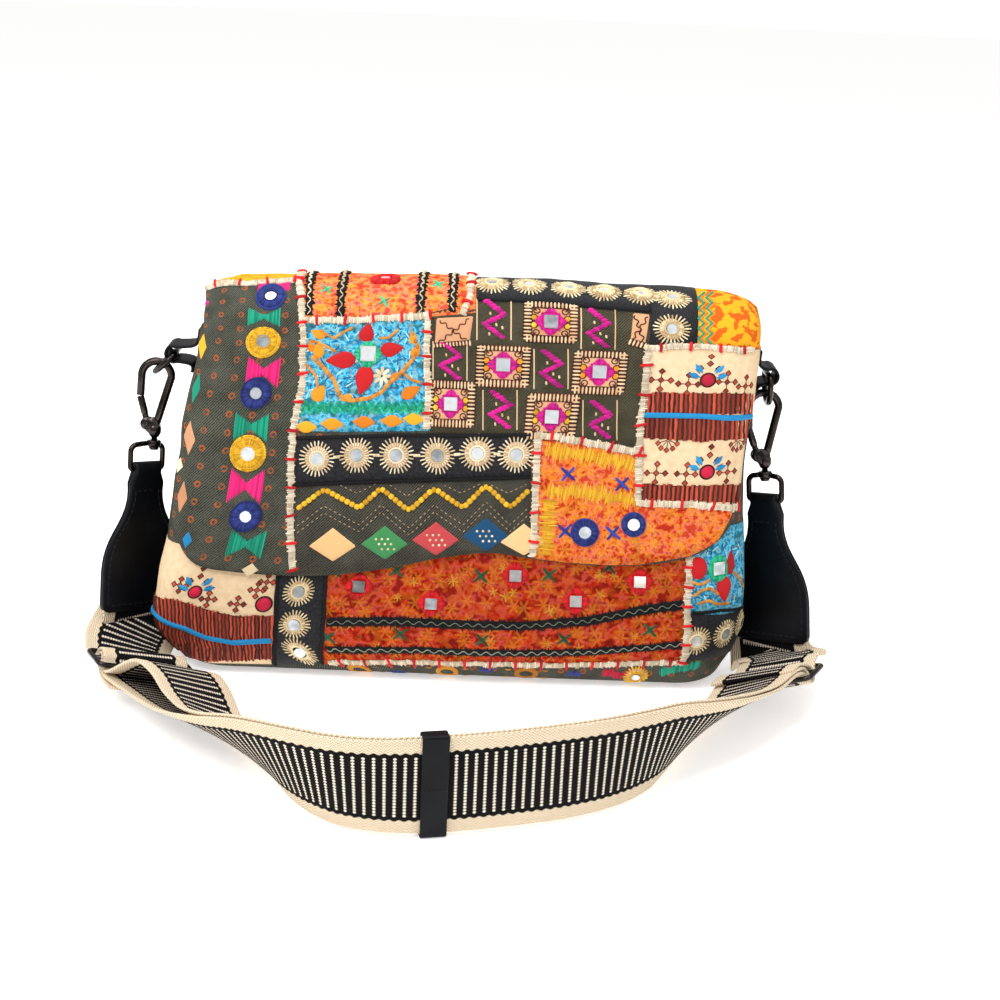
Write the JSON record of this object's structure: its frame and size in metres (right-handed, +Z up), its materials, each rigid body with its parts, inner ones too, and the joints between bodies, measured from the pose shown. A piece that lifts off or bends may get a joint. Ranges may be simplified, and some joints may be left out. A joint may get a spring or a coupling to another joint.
{
  "type": "embroidered crossbody bag",
  "caption": "Soft flap-over crossbody bag of patchwork cloth with mirror embroidery, standing on its base, with a striped webbing strap on snap hooks laid in front.",
  "frame": {"origin": "middle of the flat base, on the surface the bag stands on", "axes": "+X to the viewer's right along the bag's width, -Y out of the front with the flap, +Z up"},
  "size_m": [0.4246, 0.2875, 0.2268],
  "materials": {
    "patchwork": "quilted patchwork cloth with thread embroidery",
    "leather": "black leather with stitched edges",
    "gunmetal": "dark gunmetal plate",
    "webbing": "woven cotton webbing, cream with a black barred middle",
    "mirror": "small glass mirrors"
  },
  "bodies": {
    "bag": {"bag_body": "patchwork", "flap": "patchwork", "tab_left": "leather", "tab_right": "leather", "d_ring_left": "gunmetal", "d_ring_right": "gunmetal", "hook_left": "gunmetal", "hook_right": "gunmetal", "swivel_loop_left": "gunmetal", "swivel_loop_right": "gunmetal", "strap_end_left": "leather", "strap_end_right": "leather", "slider_left": "gunmetal", "slider_right": "gunmetal", "webbing_left": "webbing", "webbing_right": "webbing", "keeper": "leather", "mirror_strip_1": "mirror", "mirror_strip_2": "mirror", "mirror_strip_3": "mirror", "mirror_strip_4": "mirror", "mirror_strip_5": "mirror", "mirror_dyed_1": "mirror", "mirror_rose_1": "mirror", "mirror_block_1": "mirror", "mirror_block_2": "mirror", "mirror_block_3": "mirror", "mirror_block_4": "mirror", "mirror_block_5": "mirror", "mirror_top_1": "mirror", "mirror_top_2": "mirror", "mirror_top_3": "mirror", "mirror_top_4": "mirror", "mirror_top_5": "mirror", "mirror_side_1": "mirror", "mirror_side_2": "mirror", "mirror_sun_1": "mirror", "mirror_sun_2": "mirror", "mirror_sun_3": "mirror", "mirror_sun_4": "mirror", "mirror_sun_5": "mirror", "mirror_sun_6": "mirror", "mirror_ring_1": "mirror", "mirror_ring_2": "mirror", "mirror_front_sun_1": "mirror", "mirror_front_sun_2": "mirror", "mirror_front_sun_3": "mirror", "mirror_front_red_1": "mirror", "mirror_front_red_2": "mirror", "mirror_front_red_3": "mirror", "mirror_front_red_4": "mirror", "mirror_front_red_5": "mirror", "mirror_front_leaf_1": "mirror", "mirror_front_gold_1": "mirror", "mirror_front_gold_2": "mirror", "mirror_front_gold_3": "mirror", "mirror_front_under_1": "mirror"},
    "gate_left": {"gate_left": "gunmetal"},
    "gate_right": {"gate_right": "gunmetal"}
  },
  "joints": [
    {"name": "gate_left_hinge", "type": "hinge", "parent": "bag", "child": "gate_left", "pos_m": [-0.18605, -0.00492, 0.13513], "axis": [-0.0045, 0.9898, -0.1426], "range_deg": [0, 22], "stiffness_Nm_per_rad": 0.05, "springref_deg": -11.46},
    {"name": "gate_right_hinge", "type": "hinge", "parent": "bag", "child": "gate_right", "pos_m": [0.16549, -0.00492, 0.12993], "axis": [0.0119, 0.9898, -0.1421], "range_deg": [0, 22], "stiffness_Nm_per_rad": 0.05, "springref_deg": -11.46}
  ]
}
